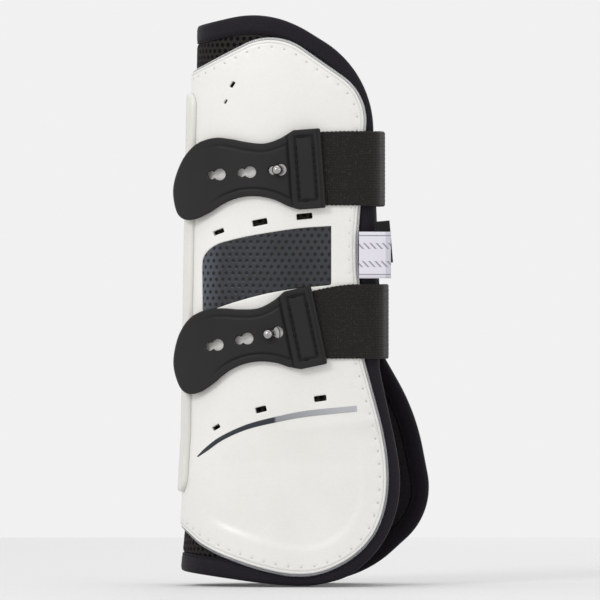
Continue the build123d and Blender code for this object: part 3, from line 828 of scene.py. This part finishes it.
def floor_material():
    m = new_material("floor_paper", Specular_IOR_Level=0.2)
    broad = scatter(m, 3)
    colour = mix(m, broad, (0.66, 0.66, 0.66), (0.69, 0.69, 0.69))
    to_shader(m, Base_Color=colour, Roughness=fit(m, broad, 0, 1, 0.75, 0.85))
    return m


SHELL, SPINE, RIM = shell_material(), spine_material(), rim_material()
WINDOW, ACCENT, NEOPRENE = window_material(), accent_material(), neoprene_material()
LINING, BINDING, ELASTIC = lining_material(), binding_material(), elastic_material()
RUBBER, METAL, LABEL, BACKING = rubber_material(), metal_material(), label_material(), backing_material()
BLACK_THREAD = thread_material("black_thread", (0.006, 0.006, 0.006), (0.022, 0.021, 0.022))
PALE_THREAD = thread_material("pale_thread", (0.52, 0.51, 0.50), (0.64, 0.63, 0.61))
GREY_THREAD = thread_material("grey_thread", (0.10, 0.09, 0.10), (0.20, 0.19, 0.20))


# ---------------------------------------------------------------- the shell and what is set in it
def rings_about(centres, radii):
    """Points on circles about centres, and the centres."""
    points = [centres]
    for radius, count in radii:
        for k in range(count):
            a = 2 * math.pi * k / count
            points.append(centres + radius * np.array((math.cos(a), math.sin(a))))
    return np.vstack(points)


def mirrored(draw, step):
    """The same loop on both sides of the boot."""
    return [side_loop(draw, sign, step) for sign in (-1, 1)]


def vent_loops():
    """The vents' outlines on both sides."""
    loops = []
    for x, z, length, width, tilt in VENTS:
        a = math.radians(tilt)
        along, across = np.array((math.cos(a), math.sin(a))), np.array((-math.sin(a), math.cos(a)))
        corners = [(-1, -1), (1, -1), (1, 1), (-1, 1)]
        box = [np.array((x, z)) + along * length / 2 * i + across * width / 2 * j for i, j in corners]
        loops += mirrored(rounded([(*p, 0.35) for p in box], True, 0.1), 0.45)
    return loops


WINDOW_LINE = np.vstack([curve_through(WINDOW_TOP), curve_through(WINDOW_LOW)])
ACCENT_LINE = np.vstack([curve_through(ACCENT_TOP), curve_through(ACCENT_LOW)])
SHELL_LOOP = inset_loop(wall_loop(SHELL_EDGES, SHELL_CURVE, 1.3), 0.9)
EDGE_LOOP = inset_loop(wall_loop(EDGES, EDGE_CURVE, 1.2), 0.7)


def shell_relief(dimples):
    """Depth of the shell's face: stitch dimples, a band down the front edge and a step under the accent."""

    def top(u, z):
        reach = np.abs(u)
        at = np.stack([u, z], 1)
        depth = 0.42 * ridge(nearest(at, dimples), 0.62)
        guard = np.clip((74 - z) / 12, 0, 1) * np.clip((reach - 26) / 14, 0, 1)
        depth += 0.34 * (1 + np.tanh((nearest(at, SHELL_LOOP) - 13.0) / 0.7)) * guard
        band = ridge(reach - unroll(24.5 + 0 * u, z), 1.6) * ((z > 100) & (z < 240))
        under = z - (78.5 + 0.1 * (reach - 64))
        fall = np.exp(-((under / 1.5) ** 2) * np.where(under > 0, 1.0, 0.12))
        return depth - 0.3 * band - 0.45 * fall * np.clip((reach - 62) / 12, 0, 1)

    return top


def build_shell():
    dimples = resample(inset_loop(SHELL_LOOP, SEWING_INSET), SEWING_PITCH)
    rim = [(0.0, 1.1), (0.12, 0.6), (0.4, 0.2), (0.8, -0.06), (1.2, 0.0)]
    rim += [(1.45, 0.5), (1.75, 0.02), (2.6, 0.0)]
    cut = [(0.0, 0.7), (0.1, 0.25), (0.35, 0.05), (0.7, 0.0)]
    holes = mirrored(WINDOW_LINE, 1.2) + vent_loops()
    extra = rings_about(dimples, [(0.45, 6), (0.95, 8)])
    shell = slab(
        "shell", [SHELL_LOOP] + holes, rim, shell_relief(dimples), constant(SHELL_BOTTOM), SHELL, 1.7,
        hole_profile=cut, extra=extra, floor_step=5.0,
    )  # fmt: skip
    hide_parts("outer_shell")
    nxt = np.roll(dimples, -1, 0) - dimples
    half = 0.55 * nxt / np.linalg.norm(nxt, axis=1)[:, None]
    starts, ends = (place(*(dimples + sign * half).T, 0.2) for sign in (-1, 1))
    ups = place(*dimples.T, -1.0) - place(*dimples.T, 0.0)
    sewing = threads("shell_stitches", starts, ends, ups, 0.27, PALE_THREAD)
    return [shell, sewing]


def build_window():
    pieces = []
    for name, loop in zip(("window_lateral", "window_medial"), mirrored(WINDOW_LINE, 1.2)):
        loop = inset_loop(loop, 0.06)
        edge = [(0.0, 0.1), (0.25, 0.0), (0.7, 0.03)]
        piece = slab(name, [loop], edge, constant(0.45), constant(2.3), WINDOW, 2.0)
        pieces.append(piece)
    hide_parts("window_inlay")
    return pieces


def build_accent():
    pieces = []
    for name, loop in zip(("accent_lateral", "accent_medial"), mirrored(ACCENT_LINE, 0.8)):
        edge = [(0.0, 0.12), (0.05, 0.02), (0.12, 0.0)]
        piece = slab(name, [loop], edge, constant(-0.14), constant(0.4), ACCENT, 1.2)
        pieces.append(piece)
    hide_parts("accent_line")
    return pieces


def build_rim():
    outline = [
        (-0.05, 0.9), (-0.3, 0.68), (-0.6, 0.66), (-0.9, 0.85), (-1.1, 1.25),
        (-1.25, 1.8), (-1.3, 2.2), (-1.1, 2.38), (-0.05, 2.38),
    ]  # fmt: skip
    rim = sweep("clear_edge", SHELL_LOOP, outline, RIM)
    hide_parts("clear_rim")
    return rim


def build_spine():
    loop = box_loop(SPINE_HALF, SPINE_LOW, SPINE_HIGH, 7.0, 1.2)

    def top(u, z):
        ridges = ridge(np.abs(u) - 10.2, 0.5) + ridge(np.abs(u) - 4.0, 0.5)
        return -SPINE_OUT + 0.25 + 0.3 * ridges

    edge = [(0.0, 2.0), (0.1, 1.2), (0.5, 0.45), (1.2, 0.08), (2.0, 0.0)]
    spine = slab("spine", [loop], edge, top, constant(-0.08), SPINE, 1.0, floor_step=3.0)
    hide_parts("spine_cover")
    return spine


# ---------------------------------------------------------------- padding, lining and bound edge
def build_liner():
    loop = resample(inset_loop(EDGE_LOOP, BINDING_WIDTH - 0.4), 1.6)

    def top(u, z):
        seam = ridge(u, 0.9) - 1.2 * ridge(np.abs(u) - 1.8, 0.6)
        clear = (z > SHELL_EDGES["top"][0][1] + 4) | (z < 36)
        swell = 0.12 * np.sin(u / 5.3) * np.sin(z / 6.1)
        return LINER_TOP + 0.3 - 0.25 * seam * clear + swell

    edge = [(0.0, 1.3), (0.5, 0.6), (1.4, 0.15), (2.6, -0.05), (4.0, 0.0)]
    liner = slab("liner", [loop], edge, top, constant(LINER_BOTTOM), NEOPRENE, 2.2, floor_step=5.0)
    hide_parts("neoprene_liner")
    return liner


def build_lining():
    loop = resample(inset_loop(EDGE_LOOP, BINDING_WIDTH - 0.3), 1.8)

    def face(u, z):
        return LINING_BOTTOM - 0.12 + 0.1 * np.sin(u / 4.1 + 1.0) * np.sin(z / 7.3)

    edge = [(0.0, -0.8), (0.6, -0.3), (1.6, 0.0)]
    lining = slab("lining", [loop], edge, face, constant(LINING_TOP), LINING, 2.4, floor_step=5.0)
    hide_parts("inner_lining")
    return lining


def build_pad():
    """The leg pad behind the tendon, blown up as cloth."""
    loop = box_loop(42.0, 50.0, 240.0, 16.0, 2.0)
    edge = [(0.0, -1.0), (1.2, -0.2), (3.0, 0.0)]
    inner, outer = constant(PAD_BOTTOM - 0.4), constant(PAD_TOP + 0.3)
    pad = slab("tendon_cushion", [loop], edge, inner, outer, LINING, 3.0, floor_step=3.0)
    swell(pad, 4.0, 2.2)
    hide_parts("tendon_pad")
    return pad


def swell(obj, voxel, most):
    """Remeshes a pad, fills it as cloth under pressure, and holds each point within most millimetres."""
    bpy.context.view_layer.objects.active = obj
    obj.select_set(True)
    remesh = obj.modifiers.new("Remesh", "REMESH")
    remesh.mode = "VOXEL"
    remesh.voxel_size = voxel * MM
    bpy.ops.object.modifier_apply(modifier=remesh.name)
    start = np.array([v.co for v in obj.data.vertices])
    cloth = obj.modifiers.new("Cloth", "CLOTH")
    cloth.settings.use_pressure = True
    cloth.settings.uniform_pressure_force = 4.0
    cloth.settings.effector_weights.gravity = 0.0
    for number in range(1, 21):
        bpy.context.scene.frame_set(number)
    bpy.ops.object.modifier_apply(modifier=cloth.name)
    bpy.context.scene.frame_set(1)
    end = np.array([v.co for v in obj.data.vertices])
    move = end - start
    length = np.linalg.norm(move, axis=1, keepdims=True) + 1e-12
    move *= np.minimum(1.0, most * MM / length)
    for vertex, place_now in zip(obj.data.vertices, start + move):
        vertex.co = place_now
    smooth = obj.modifiers.new("Subdivision", "SUBSURF")
    smooth.levels = 1
    bpy.ops.object.modifier_apply(modifier=smooth.name)
    obj.data.polygons.foreach_set("use_smooth", [True] * len(obj.data.polygons))
    obj.select_set(False)


def build_binding():
    outline = [
        (8.4, 2.95), (8.0, 2.5), (7.4, 3.0), (6.9, 2.55), (5.5, 2.45), (3.6, 2.45), (1.6, 2.45),
        (0.3, 2.7), (-0.5, 3.2), (-0.9, 4.1), (-1.0, 5.4), (-0.9, 6.8), (-0.5, 7.8), (0.3, 8.5),
        (1.6, 8.85), (4.0, 8.95), (7.0, 8.85), (7.5, 8.6), (8.0, 8.8), (8.4, 8.4), (8.4, 6.0),
    ]  # fmt: skip
    binding = sweep("edge_binding", EDGE_LOOP, outline, BINDING)
    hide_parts("binding_lateral", "binding_medial")
    line = inset_loop(EDGE_LOOP, 7.5)
    outer = threads("binding_stitches", *stitch_line(line, 2.72, 2.2, 1.3), 0.22, BLACK_THREAD)
    starts, ends, ups = stitch_line(line, 8.78, 2.2, 1.3)
    inner_threads = threads("binding_stitches_inner", starts, ends, -ups, 0.22, BLACK_THREAD)
    return [binding, outer, inner_threads]


# ---------------------------------------------------------------- straps
def tab_place(strap):
    """Maps a tab's own x and z, and a height above its inner face, to space."""
    _, half, radius, start, _ = (float(v) for v in section(strap["z"]))
    tilt = math.radians(strap["tilt"])
    side, back = SIDE_RADIUS + TAB_GAP, radius + TAB_GAP
    side_sin, lift_sin = math.sin(SIDE_TURN), math.sin(TAB_LIFT_TURN)
    side_x = start - side * side_sin
    side_y = half + TAB_GAP - side * (1 - math.cos(SIDE_TURN))
    lift_x = side_x - back * (lift_sin - side_sin)
    lift_y = side_y - back * (math.cos(SIDE_TURN) - math.cos(TAB_LIFT_TURN))
    tip = TAB_TIP_RADIUS + TAB_GAP

    def shape(u, z, height):
        x = strap["x"] + u * math.cos(tilt) - z * math.sin(tilt)
        up = strap["z"] + u * math.sin(tilt) + z * math.cos(tilt)
        x = x + height * 0
        turn_side = np.arcsin(np.clip((start - x) / side, 0, side_sin))
        turn_back = np.arcsin(np.clip((side_x - x) / back + side_sin, side_sin, lift_sin))
        turn_tip = np.arcsin(np.clip((lift_x - x) / tip + lift_sin, lift_sin, 1))
        part = [x < lift_x, x < side_x]
        turn = np.select(part, [turn_tip, turn_back], turn_side)
        y_side = half + TAB_GAP - side * (1 - np.cos(turn_side))
        y_back = side_y - back * (math.cos(SIDE_TURN) - np.cos(turn_back))
        y_tip = lift_y - tip * (math.cos(TAB_LIFT_TURN) - np.cos(turn_tip))
        y = np.select(part, [y_tip, y_back], y_side)
        return np.stack([x, MID_Y - y - height / np.maximum(np.cos(turn), 0.5), up], -1)

    return shape


def tab_outline():
    """A tab's outline: the drawn curve and the end panel's square front."""
    front = [(12.4, -20.5, 0), (TAB_FRONT, -20.5, 0.8), (TAB_FRONT, 19.2, 0.8), (12.4, 19.2, 0)]
    return anticlockwise(resample(np.vstack([curve_through(TAB_EDGE), rounded(front, False, 0.2)]), 0.8))


PLATEAU_FRONT = 8.2
TAB_LOOP = tab_outline()


def keyhole(number, grow):
    """One keyhole's outline, grown on all sides: a small and a big lobe joined by a neck."""
    left = -number * KEYHOLE_PITCH
    small, big = SMALL_LOBE + grow, BIG_LOBE + grow
    meet_x = (LOBE_SPACING**2 + small**2 - big**2) / (2 * LOBE_SPACING)
    neck = max(KEYHOLE_NECK + grow, math.sqrt(small**2 - meet_x**2) + 0.05)
    small_turn, big_turn = math.asin(neck / small), math.asin(neck / big)
    small_arc = np.linspace(small_turn, 2 * math.pi - small_turn, 24)
    big_arc = np.linspace(math.pi + big_turn, 3 * math.pi - big_turn, 34)
    line = [(left + small * math.cos(a), small * math.sin(a)) for a in small_arc]
    line += [(left + LOBE_SPACING + big * math.cos(a), big * math.sin(a)) for a in big_arc]
    return anticlockwise(np.array(line))


PANEL_FRAME = (12.4, 21.2, -16.2, 15.8)  # the end panel's sunk field: from, to, low, high


def tab_relief(u, z):
    """A tab's plateau and its groove, and its end panel's step, sunk field, sewn groove and front seam."""
    left, right, low, high = PANEL_FRAME
    within = np.minimum(np.minimum(u - left, right - u), np.minimum(z - low, high - z))
    waist = np.clip((u + 34) / 12, 0, 1)
    plateau = np.minimum(nearest(np.stack([u, z], 1), TAB_LOOP) - 4.0, PLATEAU_FRONT - u)
    step = np.clip((u - PANEL_BACK - 1.0) / 0.9, 0, 1)
    raised = np.clip(0.5 + plateau / 0.8, 0, 1) * waist + 1 - waist
    line = ridge(plateau, 0.5) * waist * (u < PLATEAU_FRONT + 1)
    return raised, line, step, np.clip(within / 0.6, 0, 1), ridge(within, 0.75), ridge(u - 23.6, 0.3)


def tab_top(u, z):
    """Height of a tab's outer face above its inner one."""
    raised, line, step, field, groove, seam = tab_relief(u, z)
    panel = (PANEL_HEIGHT - TAB_HEIGHT) * step - 0.25 * field - 0.55 * groove - 0.3 * seam
    return TAB_HEIGHT - 0.3 + 0.3 * np.where(step > 0, 1, raised) + panel - 0.5 * line


def tab_painted_shade(u, z):
    """Painted shade: darker in a tab's grooves, at its end panel's step and along its front seam."""
    _, line, _, _, groove, seam = tab_relief(u, z)
    return np.clip(line + groove + 0.8 * seam + ridge(u - PANEL_BACK - 1.2, 0.5), 0, 1)


def tab_bottom(u, z):
    """Height of a tab's inner face, which steps up under the end panel."""
    slope = np.where(u > PANEL_BACK - 0.4, u - PANEL_BACK + 0.4, 0.0)
    return np.where(u > PANEL_BACK + 1.0, PANEL_FLOOR, slope)


def build_tab(strap):
    name = strap["name"]
    shape = tab_place(strap)
    rim = [(0.0, -0.7), (0.1, -0.35), (0.35, -0.08), (0.75, 0.0), (1.5, 0.0)]
    cut = [(0.0, -0.45), (0.12, -0.15), (0.35, 0.0), (0.8, 0.0)]
    keyholes = [lambda grow, number=number: keyhole(number, grow) for number in range(3)]
    tab = slab(
        f"{name}_pull", [TAB_LOOP, *keyholes], rim, tab_top, tab_bottom, RUBBER, 0.62,
        shape=shape, hole_profile=cut, floor_step=1.4, shade=tab_painted_shade,
    )  # fmt: skip
    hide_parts(f"{name}_tab")
    left, right, low, high = PANEL_FRAME
    rows = [[(x, low + 1), (x, high - 1)] for x in (left, right)]
    rows += [[(left + 1.5, z), (right - 1.5, z)] for z in (low, high)]
    depth = PANEL_HEIGHT - 0.3
    sewing = sewn_rows(f"{name}_pull_stitches", rows, depth, 2.5, 0.9, shape, 0.48, BLACK_THREAD)
    return [tab, sewing]


def elastic_line(strap):
    """The elastic's middle line from above, from tab to sewn end, and its outward directions."""
    half = float(section(strap["z"])[1])
    middle = ELASTIC_GAP + ELASTIC_THICKNESS / 2
    turn = math.asin((strap["corner_x"] - CHEEK_START) / CHEEK_RADIUS)
    cheek = CHEEK_RADIUS + middle
    corner = ELASTIC_CORNER + middle
    corner_turn = math.pi / 2 - ELASTIC_CROSS / 2 - turn
    points, headings = [(ELASTIC_BACK_X, -half - middle)], [0.0]

    def run(radius, sweep_turn, count):
        """Carries the line on along an arc."""
        x, y = points[-1]
        h = headings[-1]
        cx, cy = x - radius * math.sin(h), y + radius * math.cos(h)
        for share in np.linspace(0, 1, count + 1)[1:]:
            a = h + sweep_turn * share
            points.append((cx + radius * math.sin(a), cy - radius * math.cos(a)))
            headings.append(a)

    for x in np.linspace(ELASTIC_BACK_X, CHEEK_START, 16)[1:]:
        points.append((x, -half - middle))
        headings.append(0.0)
    run(cheek, turn, 28)
    run(corner, corner_turn, 14)
    cross = -points[-1][1] / math.sin(ELASTIC_CROSS / 2)
    run(cross, ELASTIC_CROSS, 44)
    run(corner, corner_turn, 14)
    run(cheek, turn, 28)
    for x in np.linspace(points[-1][0], ANCHOR_BACK_X, 9)[1:]:
        points.append((x, half + middle))
        headings.append(math.pi)
    points, headings = np.array(points), np.array(headings)
    points[:, 1] += MID_Y
    return points, np.stack([np.sin(headings), -np.cos(headings)], 1)


def build_elastic(strap):
    """One webbing, sewn to the inner side, that runs across the open front to the tab."""
    name = strap["name"]
    line, out = elastic_line(strap)
    length = lengths_along(line)
    along = np.arange(0, length[-1], 0.7)
    centre = np.stack([np.interp(along, length, line[:, k]) for k in range(2)], 1)
    outs = np.stack([np.interp(along, length, out[:, k]) for k in range(2)], 1)
    outs /= np.linalg.norm(outs, axis=1)[:, None]
    across = np.linspace(0, ELASTIC_WIDTH, 54)
    points, uv = [], []
    thick = ELASTIC_THICKNESS / 2 - 0.12
    fold = np.abs(centre[:, 0] - strap["corner_x"] - 3.0) < 9
    ribs = 0.05 + 0.05 * fold
    serration = 0.18 * np.sin(along * 2 * math.pi / RIB_PITCH)
    gather = strap["narrow"] / ELASTIC_WIDTH * np.clip((28.0 - along) / 24.0, 0, 1) ** 1.5
    for side in (1, -1):
        for i, v in enumerate(across):
            edge = min(v, ELASTIC_WIDTH - v)
            rounding = min(1.0, 0.35 + edge / 1.2)
            height = thick * rounding + ribs * math.sin(v * 2 * math.pi / RIB_PITCH)
            at = centre + outs * (side * height)[:, None]
            lift = 0.0 if 0 < i < len(across) - 1 else (1.0 if i else -1.0)
            up = strap["elastic_z"] + v * (1 - gather) + lift * serration
            points.append(np.column_stack([at, up]))
            uv.append(np.column_stack([along, 0 * along + v]))
    elastic = strip(f"{name}_elastic_webbing", points, uv, len(across), len(along), ELASTIC)
    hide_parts(f"{name}_elastic", f"{name}_anchor")

    def shape(u, z, d):
        """A point of the webbing in space, from its distance along, height and distance out."""
        at = [np.interp(u, along, centre[:, k]) + d * np.interp(u, along, outs[:, k]) for k in range(2)]
        return np.column_stack([*at, strap["elastic_z"] + z])

    first, last, low, high = length[-1] - 20.0, length[-1] - 2.0, 2.2, ELASTIC_WIDTH - 2.2
    path = [(first, low), (last, low), (last, high), (first, high), (first, low)]
    legs = list(zip(path, path[1:]))
    sewing = sewn_rows(f"{name}_anchor_stitches", legs, 0.82, 2.4, 1.0, shape, 0.25, GREY_THREAD)
    return [elastic, sewing]


# ---------------------------------------------------------------- labels
LABEL_AT = np.array((29.3, MID_Y - 34.3, 164.9))
LABEL_TURN = math.radians(15)
LABEL_SIZE = (16.4, 23.2)


def label_strip(name, line, width, thickness, low, material, tilt=0.0):
    """A flat woven strip whose middle line is drawn in the label's own plane, as x and y."""
    line = np.asarray(line, float)
    heading = np.gradient(line, axis=0)
    heading /= np.linalg.norm(heading, axis=1)[:, None]
    side = np.stack([-heading[:, 1], heading[:, 0]], 1)
    length = lengths_along(line)
    across = np.linspace(0, width, 16)
    c, s = math.cos(LABEL_TURN), math.sin(LABEL_TURN)
    ct, st = math.cos(math.radians(tilt)), math.sin(math.radians(tilt))
    points, uv = [], []
    for face in (-0.5, 0.5):
        for v in across:
            at = line + side * face * thickness
            own_z = v + low
            x, z = at[:, 0] * ct - own_z * st, at[:, 0] * st + own_z * ct
            offset = np.column_stack([c * x + s * at[:, 1], s * x - c * at[:, 1], z])
            points.append(LABEL_AT + offset)
            uv.append(np.column_stack([length, 0 * length + v]))
    return strip(name, points, uv, len(across), len(line), material), float(length[-1])


def build_labels():
    x = np.linspace(0, LABEL_SIZE[0], 40)
    front = np.stack([x, 0.35 + 0.35 * np.sin(x / LABEL_SIZE[0] * math.pi)], 1)
    woven, length = label_strip("woven_tag", front, LABEL_SIZE[1], 0.45, -LABEL_SIZE[1] / 2, LABEL)
    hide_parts("woven_label")
    out = np.linspace(10.2, 17.0, 20)
    turn = np.linspace(-math.pi / 2, math.pi / 2, 14)[1:-1]
    near = np.stack([out, 0 * out - 1.35], 1)
    bend = np.stack([17.0 + 0.4 * np.cos(turn), -0.95 + 0.4 * np.sin(turn)], 1)
    far = np.stack([out[::-1], 0 * out - 0.55], 1)
    line = np.vstack([near, bend, far])
    folded, length = label_strip("folded_tag", line, 21.0, 0.3, -5.2, BACKING, tilt=5.0)
    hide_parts("folded_label")
    return [woven, folded]


# ---------------------------------------------------------------- studio
def build_studio():
    reach = 1000.0
    corners = [(-reach, -reach, -0.4), (reach, -reach, -0.4), (reach, reach, -0.4), (-reach, reach, -0.4)]
    floor = make("floor", corners, [(0, 1, 2, 3)], floor_material())
    world = bpy.data.worlds.new("studio")
    bpy.context.scene.world = world
    world.use_nodes = True
    world.node_tree.nodes["Background"].inputs["Color"].default_value = (1, 1, 1, 1)
    world.node_tree.nodes["Background"].inputs["Strength"].default_value = 0.88
    for name, at, size, power in (
        ("key", (-0.9, -1.3, 1.1), 0.45, 9.5),
        ("fill", (1.3, -1.1, 0.5), 0.8, 1.5),
        ("top", (0.1, 0.1, 1.5), 0.8, 3.0),
        ("back", (0.3, 1.4, 0.8), 0.8, 3.0),
    ):
        data = bpy.data.lights.new(name, "AREA")
        data.size = size
        data.energy = power
        lamp = bpy.data.objects.new(name, data)
        lamp.location = at
        lamp.rotation_euler = (Vector((0, 0, 0.14)) - Vector(at)).to_track_quat("-Z", "Y").to_euler()
        bpy.context.scene.collection.objects.link(lamp)
    camera_data = bpy.data.cameras.new("camera")
    camera_data.lens = 600.0
    camera_data.sensor_width = 36.0
    camera = bpy.data.objects.new("camera", camera_data)
    camera.location = (0.0, -5.01, 0.1425)
    camera.rotation_euler = (math.pi / 2, 0, 0)
    bpy.context.scene.collection.objects.link(camera)
    bpy.context.scene.camera = camera
    bpy.context.scene.view_settings.view_transform = "Standard"


# ---------------------------------------------------------------- assembly
on_boot = [*build_shell(), build_rim(), build_spine(), build_liner(), build_lining(), build_pad()]
on_boot += [*build_window(), *build_accent(), *build_binding(), *build_labels()]
for piece in on_boot:
    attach(piece, "boot")

for strap in STRAPS:
    for piece in build_tab(strap):
        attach(piece, f"{strap['name']}_pull_tab")
    webbing, anchor_sewing = build_elastic(strap)
    middle_z = (strap["elastic_z"] + ELASTIC_WIDTH / 2) * MM
    start, end = (0.029, (MID_Y + 33.3) * MM, middle_z), (0.038, (MID_Y + 26.0) * MM, middle_z)
    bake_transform(webbing)
    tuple(start)
    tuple(end)
    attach(anchor_sewing, "boot")
    for part in ("stud", "washer"):
        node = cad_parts[f"{strap['name']}_{part}"]
        node.data.materials.clear()
        node.data.materials.append(METAL)

build_studio()
